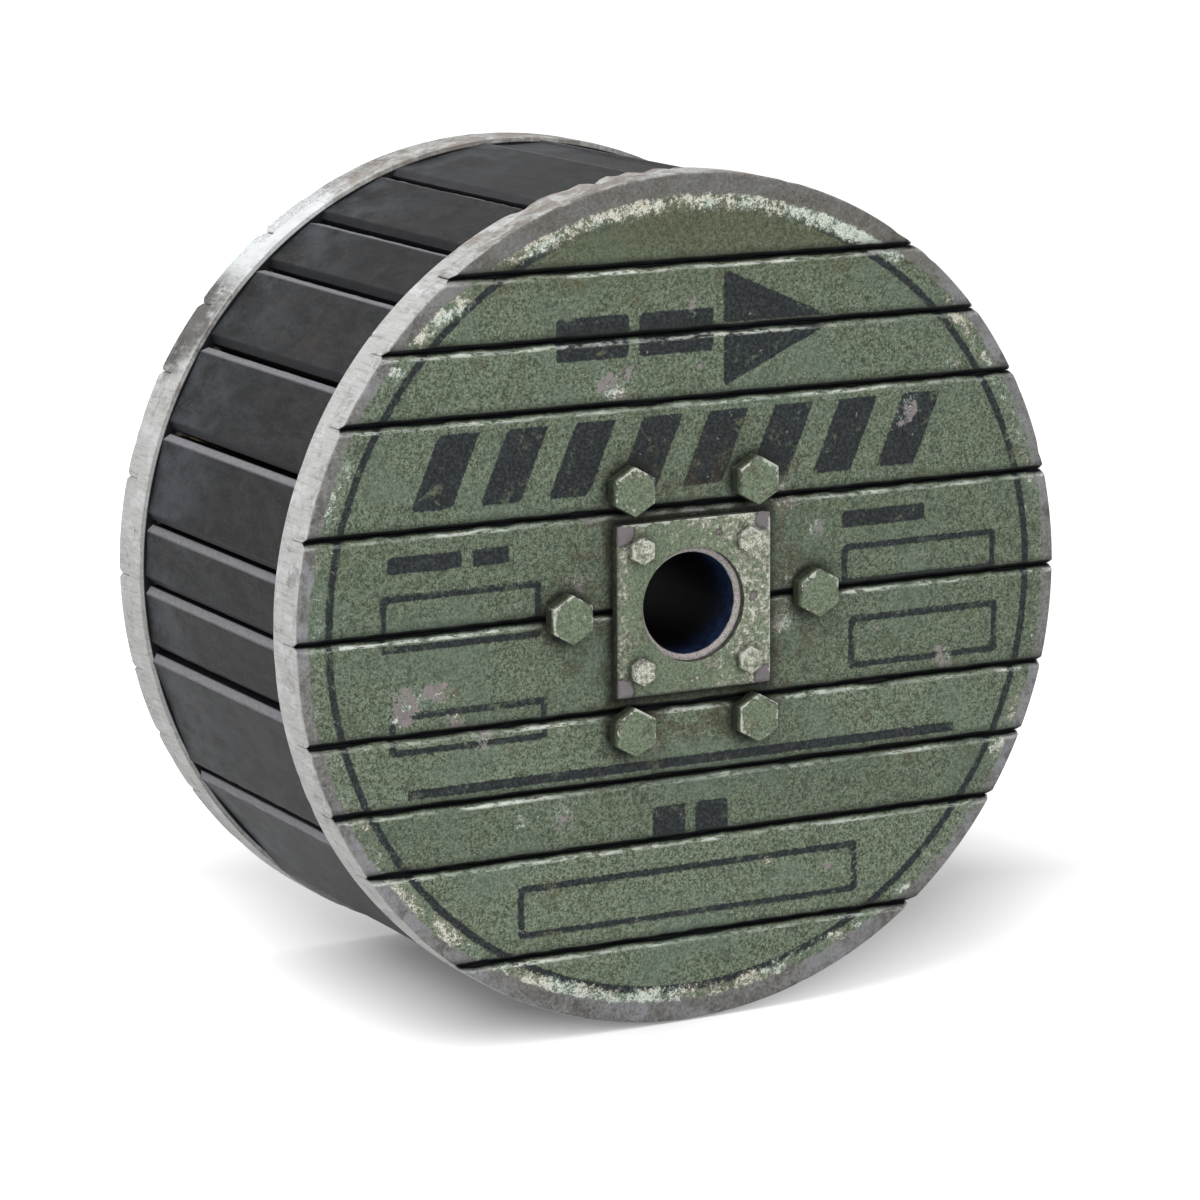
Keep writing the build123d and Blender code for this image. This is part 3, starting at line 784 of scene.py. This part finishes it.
def painted_steel():
    """Olive paint on steel, speckled as on the boards, flaked to cream primer and, in soft patches, to bare
    grey metal; worn pale in places along its edges, partly a painted highlight on the upper edges; and dark
    with dirt and painted shade on its sides and round what stands on it."""
    mix = Mixing("worn_olive_paint_on_steel")
    fine = mix.noise(1.1, 2, 0.6)
    speckle = mix.noise(2.3, 3, 0.7)
    flakes = mix.noise(3.4, 5, 0.75, warp=0.5)
    mottle = mix.noise(12, 5, 0.68, warp=0.5)
    paint = mix.colour(tint(76, 90, 68), tint(122, 136, 112), mix.between(speckle, 0.33, 0.66))
    paint = mix.colour(paint, tint(154, 162, 142), mix.times(mix.between(fine, 0.53, 0.72), 0.5))
    paint = mix.colour(paint, tint(44, 52, 40), mix.times(mix.between(fine, 0.47, 0.3), 0.55))
    paint = mix.colour(paint, tint(58, 50, 32), mix.times(mix.between(mottle, 0.50, 0.64), 0.6))
    chips = mix.sum("MULTIPLY_ADD", flakes, 0.6, mix.times(mottle, 0.4))
    chips = mix.sum("MULTIPLY_ADD", mix.value("chip"), 0.16, chips)
    cream = mix.colour(tint(150, 150, 134), tint(222, 222, 208), mix.between(fine, 0.36, 0.6))
    paint = mix.colour(paint, mix.colour(paint, tint(158, 158, 140), 0.5), mix.between(chips, 0.55, 0.62))
    paint = mix.colour(paint, cream, mix.between(chips, 0.60, 0.68))
    bare = mix.sum("MULTIPLY_ADD", mix.noise(6, 5, 0.75), 9.0, mix.value("bare"))
    paint = mix.colour(paint, tint(46, 41, 39), mix.times(mix.between(bare, 2.0, 4.0), 0.85))
    metal = mix.colour(tint(104, 98, 100), tint(136, 129, 131), speckle)
    paint = mix.colour(paint, metal, mix.between(bare, 4.0, 5.0))
    rub = mix.sum("SUBTRACT", mix.noise(9, 5, 0.75), 0.30)
    rub = mix.sum("MULTIPLY_ADD", rub, 15.0, mix.value("edge"))
    # Pale worn edges, partly a painted highlight: the edge values keep it to the upper edges.
    worn = mix.between(rub, 4.2, 3.2)
    paint = mix.colour(paint, tint(196, 201, 188), mix.times(worn, 0.85))
    # Dirt and painted shade on the sides and round what stands on the steel.
    paint = mix.colour(paint, tint(15, 17, 13), mix.times(mix.value("dirt_and_shade"), 0.9))
    return mix.wire(
        Base_Color=paint, Roughness=0.5, Specular_IOR_Level=0.35,
        Normal=mix.bump(mix.sum("ADD", fine, speckle), 0.5, 0.8),
    )


def tube_steel():
    """Deep navy paint in the bore, rubbed to pale bare steel round its lips, with painted shade that turns it
    black further in.
    """
    mix = Mixing("navy_paint_on_tube")
    mottle = mix.noise(6, 5, 0.65)
    fine = mix.noise(1.5, 3, 0.7)
    inward = mix.sum("ABSOLUTE", mix.node("ShaderNodeSeparateXYZ", {"Vector": mix.place}, 1))
    navy = mix.colour(tint(10, 20, 42), tint(32, 52, 88), mix.between(mottle, 0.35, 0.7))
    # Painted shade: black further into the bore.
    navy = mix.colour(navy, tint(1, 2, 4), mix.between(inward, 0.157, 0.112))
    bare = mix.colour(tint(128, 121, 119), tint(184, 178, 174), mix.between(fine, 0.32, 0.6))
    rub = mix.between(mix.sum("MULTIPLY_ADD", mix.noise(5, 5, 0.7), 3.0, mix.value("lip")), 4.6, 3.4)
    return mix.wire(
        Base_Color=mix.colour(navy, bare, rub), Roughness=0.55, Specular_IOR_Level=0.2,
        Normal=mix.bump(mix.sum("ADD", mottle, fine), 0.3, 0.4),
    )


olive_steel = painted_steel()
tube_wall_mm = 8.0
tube_outside_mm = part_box("spindle_tube")[1].x * 1000
bore_mm = tube_outside_mm - tube_wall_mm
lip_mm = 3.0
arris_mm = 0.5
curve = np.radians(np.linspace(0, 90, 7))
front_lip = [(-face_mm + lip_mm * (1 - math.sin(a)), bore_mm + lip_mm * (1 - math.cos(a)), 0) for a in curve]
rows = [(y, bore_mm, 0) for y in np.linspace(face_mm - 8, -face_mm + 8, 24)] + front_lip
rows += [(-face_mm, tube_outside_mm - arris_mm, 0), (-face_mm + arris_mm, tube_outside_mm, 0)]
rows += [(face_mm - arris_mm, tube_outside_mm, 0), (face_mm, tube_outside_mm - arris_mm, 0)]
rows += [(-y, reach, 0) for y, reach, _ in reversed(front_lip)]
points, quads = turned(rows, 4, 96, True)
lip = np.minimum(face_mm - np.abs(points[:, 1]), 30)
tube = piece("bore_tube", points, quads, {"lip": lip}, tube_steel(), "drum")
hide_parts("spindle_tube")

plate_half_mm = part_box("front_hub_plate")[1].x * 1000
plate_front_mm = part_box("front_hub_plate")[0].y * 1000
hole_mm = bore_mm + 4.0
plate_rows = [(-face_mm, hole_mm, 0), (plate_front_mm + 1.4, hole_mm, 0)]
plate_rows += [(plate_front_mm + 0.4, hole_mm + 0.4, 0), (plate_front_mm, hole_mm + 1.4, 0)]
for square in np.linspace(0.06, 0.94, 12):
    plate_rows.append((plate_front_mm, hole_mm + 1.4 + (plate_half_mm - hole_mm - 2.8) * square, square))
plate_rows += [(plate_front_mm, plate_half_mm - 1.2, 1), (plate_front_mm + 0.35, plate_half_mm - 0.35, 1)]
plate_rows += [(plate_front_mm + 1.2, plate_half_mm, 1), (-face_mm, plate_half_mm, 1)]
plate_points, plate_quads = turned(plate_rows, 4, 128, True)
x, z = plate_points[:, 0], plate_points[:, 2]
outside = plate_half_mm - np.maximum(np.abs(x), np.abs(z))
inside = np.hypot(x, z) - hole_mm
patches = ((-56, 56, 9.0), (57, 57, 8.0), (-57, -56, 9.0), (56, -56, 7.5), (47, 2, 2.5), (20, 50, 2.0))
bare = np.maximum.reduce([size - np.hypot(x - at_x, z - at_z) for at_x, at_z, size in patches])
chipping = 0.62 * np.clip((x + 5) / 40, 0, 1)
chipping = chipping + 0.3 * np.clip((z - 20) / 35, 0, 1) + 0.4 * np.clip((-x - 42) / 12, 0, 1)
screw_half_mm = 42.5
screw_places = [(sx * screw_half_mm, sz * screw_half_mm) for sx in (-1, 1) for sz in (-1, 1)]
from_screws = np.minimum.reduce([np.hypot(x - at_x, z - at_z) for at_x, at_z in screw_places]) - 8.5
# Dirt and painted shade on the plate's sides and along its left and bottom edges, where less light falls;
# those edges are kept from wearing pale, and a dark halo rings each screw.
sides = np.clip((plate_points[:, 1] - plate_front_mm - 0.5) / 0.7, 0, 1)
shaded_edge = np.minimum(x, z) < 2.0 - plate_half_mm
sides = np.maximum(sides, shaded_edge * np.clip(1.3 - outside / 1.4, 0, 1))
plate_values = {
    "edge": np.minimum(outside, inside * 2.0 + 1.0) + 3.0 * shaded_edge,
    "chip": chipping,
    "bare": bare,
    "dirt_and_shade": np.maximum(sides, 0.8 * np.exp(-np.clip(from_screws, 0, None) / 2.2)),
}
screw_flats_mm = 17.0
screw_front_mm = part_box("front_hub_screws")[0].y * 1000
screw_rows = hexagon_head(screw_front_mm, screw_flats_mm, plate_front_mm - screw_front_mm)
screw_rows += [(plate_front_mm, 5.0, 0), (-face_mm + 17.8, 4.8, 0), (-face_mm + 18.0, 1.0, 0)]
for side, flip in (("front", False), ("rear", True)):
    points, quads, values = copies(plate_points, plate_quads, plate_values, [(0, 0)], flip)
    plate = piece(f"{side}_square_plate", points, quads, values, olive_steel, "drum")
    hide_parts(f"{side}_hub_plate")
    points, quads = turned(screw_rows, 6, 72, False)
    values = head_values(points, screw_front_mm, screw_flats_mm, 0.85)
    points, quads, values = copies(points, quads, values, screw_places, flip)
    screws = piece(f"{side}_wood_screws", points, quads, values, olive_steel, "drum")
    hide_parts(f"{side}_hub_screws")


# Tie bolts. Six long bolts hold the drum together. Their hexagon heads bear on the painted face, and at the
# rear each has a square timber washer and a nut, with a little of its thread standing out.
bolt_flats_mm = 30.0
bolt_mm = 10.0
thread_mm = 1.3
bolt_front_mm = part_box("tie_bolts")[0].y * 1000
bolt_end_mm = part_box("tie_bolts")[1].y * 1000
bolt_rows = hexagon_head(bolt_front_mm, bolt_flats_mm, -face_mm - bolt_front_mm)
bolt_rows += [(-face_mm, bolt_mm, 0), (130.0, bolt_mm, 0)]
for number, y in enumerate(np.arange(150, bolt_end_mm - 1.5, 1.25)):
    bolt_rows.append((y, bolt_mm - thread_mm * (number % 2), 0))
bolt_rows += [(bolt_end_mm - 1.2, 9.2, 0), (bolt_end_mm, 8.0, 0), (bolt_end_mm, 3.0, 0)]
points, quads = turned(bolt_rows, 6, 96, False)
values = head_values(points, bolt_front_mm, bolt_flats_mm, 0.1)
bolts = piece("hexagon_bolts", *copies(points, quads, values, bolt_places), olive_steel, "drum")
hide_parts("tie_bolts")

washer_front_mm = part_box("tie_washers")[1].y * 1000
nut_front_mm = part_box("tie_nuts")[1].y * 1000
washer_half_mm = 22.0
washer_rows = [(-face_mm, 10.6, 0), (-washer_front_mm, 10.6, 0), (-washer_front_mm, 15, 0)]
washer_rows += [(-washer_front_mm, washer_half_mm - 0.6, 1), (-washer_front_mm + 0.6, washer_half_mm, 1)]
washer_rows += [(-face_mm, washer_half_mm, 1)]
points, quads = turned(washer_rows, 4, 64, True)
values = head_values(points, -washer_front_mm, 2 * washer_half_mm, 0.3)
values["edge"] = washer_half_mm - np.maximum(np.abs(points[:, 0]), np.abs(points[:, 2]))
washers = piece("timber_washers", *copies(points, quads, values, bolt_places, True), olive_steel, "drum")
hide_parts("tie_washers")
nut_rows = [(-washer_front_mm, 10.1, 0), (-nut_front_mm + 1.2, 10.1, 0), (-nut_front_mm, 11.2, 0)]
nut_outside = hexagon_head(-nut_front_mm, bolt_flats_mm, nut_front_mm - washer_front_mm)
nut_rows += [row for row in nut_outside if row[1] > 11.5]
points, quads = turned(nut_rows, 6, 96, True)
values = head_values(points, -nut_front_mm, bolt_flats_mm, 0.2)
nuts = piece("hexagon_nuts", *copies(points, quads, values, bolt_places, True), olive_steel, "drum")
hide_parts("tie_nuts")


# Room. A plain white floor under the rims, three soft lights, a pale world, and the camera at the
# photograph's place: in front of the drum, to its left and a little above the axis.
def seen_directly(tree):
    """1 for the camera and for what gloss and glass show of the room, and 0 for the light that falls on
    things."""
    path = tree.nodes.new("ShaderNodeLightPath")
    share = path.outputs["Is Camera Ray"]
    for ray in ("Is Glossy Ray", "Is Transmission Ray"):
        either = tree.nodes.new("ShaderNodeMath")
        either.operation = "MAXIMUM"
        tree.links.new(share, either.inputs[0])
        tree.links.new(path.outputs[ray], either.inputs[1])
        share = either.outputs[0]
    return share


floor_z = -rim_radius_mm / 1000 - 0.0005


def white_floor():
    """Matt white that keeps shadows: what the camera sees of it is lifted, less near the drum than away from
    it, until its unshaded part is plain white; the smaller lift near the drum paints shadow there."""
    mix = Mixing("floor_white")
    left = mix.node("ShaderNodeVectorMath", {0: mix.place, 1: (-1, 0, 0)}, 1, operation="DOT_PRODUCT")
    right = mix.node("ShaderNodeVectorMath", {0: mix.place, 1: (0.475, -0.88, 0)}, 1, operation="DOT_PRODUCT")
    beside = mix.sum("SMOOTH_MAX", mix.sum("SUBTRACT", left, 0.15), mix.sum("SUBTRACT", right, 0.15), 0.05)
    reach = {"Value": beside, "From Min": -0.06, "From Max": 0.065, "To Min": 0.06, "To Max": 0.6}
    beside = mix.node("ShaderNodeMapRange", reach)
    away = mix.node("ShaderNodeVectorMath", {0: mix.place, 1: (0.1, 0.15, floor_z)}, 1, operation="DISTANCE")
    reach = {"Value": away, "From Min": 0.29, "From Max": 0.5, "To Min": 0.1, "To Max": 0.75}
    away = mix.node("ShaderNodeMapRange", reach)
    # The lift is least beside and behind the drum: a painted shadow on the floor.
    lift = mix.sum("SMOOTH_MAX", beside, away, 0.1)
    strength = mix.times(seen_directly(mix.tree), lift)
    return mix.wire(
        Base_Color=(0.8, 0.8, 0.8, 1), Roughness=0.9, Specular_IOR_Level=0.0,
        Emission_Color=(1, 1, 1, 1), Emission_Strength=strength,
    )


floor_mesh = bpy.data.meshes.new("floor")
corners = [(-12, -12, floor_z), (12, -12, floor_z), (12, 12, floor_z), (-12, 12, floor_z)]
floor_mesh.from_pydata(corners, [], [(0, 1, 2, 3)])
floor = bpy.data.objects.new("floor", floor_mesh)
floor_mesh.materials.append(white_floor())
bpy.context.scene.collection.objects.link(floor)


def soft_light(name, place, aim, size, power):
    """A round lamp that points from its place to its aim."""
    lamp = bpy.data.lights.new(name, "AREA")
    lamp.shape = "DISK"
    lamp.size = size
    lamp.energy = power
    made = bpy.data.objects.new(name, lamp)
    made.location = place
    made.rotation_euler = (Vector(aim) - Vector(place)).to_track_quat("-Z", "Y").to_euler()
    bpy.context.scene.collection.objects.link(made)


soft_light("over_left", (-1.1, -0.6, 3.0), (0, 0, 0), 3.2, 70)
soft_light("left", (-3.0, -1.1, 1.8), (0, 0, 0), 1.8, 26)
soft_light("front", (-0.3, -3.3, 1.7), (0, 0, 0), 2.8, 24)

world = bpy.data.worlds.new("pale_room")
bpy.context.scene.world = world
world.use_nodes = True
tree = world.node_tree
background = tree.nodes["Background"]
strength = tree.nodes.new("ShaderNodeMapRange")
tree.links.new(seen_directly(tree), strength.inputs["Value"])
strength.inputs["To Min"].default_value = 0.5
strength.inputs["To Max"].default_value = 1.0
tree.links.new(strength.outputs[0], background.inputs["Strength"])
background.inputs["Color"].default_value = (1, 1, 1, 1)

azimuth, elevation, roll = (math.radians(angle) for angle in (-27.81, 11.46, -0.33))
distance, sideways, lowered = 3.4451, 0.00977, 0.02453
flat_back = math.cos(elevation)
back = Vector((math.sin(azimuth) * flat_back, -math.cos(azimuth) * flat_back, math.sin(elevation)))
level = Vector((math.cos(azimuth), math.sin(azimuth), 0))
upward = back.cross(level)
camera_right = math.cos(roll) * level + math.sin(roll) * upward
camera_up = -math.sin(roll) * level + math.cos(roll) * upward
lens = bpy.data.cameras.new("camera")
lens.lens = 143.115
lens.sensor_width = 36.0
lens.clip_end = 50
camera = bpy.data.objects.new("camera", lens)
turn = Matrix((camera_right, camera_up, back)).transposed().to_4x4()
camera.matrix_world = Matrix.Translation(back * distance + level * sideways - upward * lowered) @ turn
bpy.context.scene.collection.objects.link(camera)
bpy.context.scene.camera = camera
bpy.context.scene.view_settings.view_transform = "Standard"
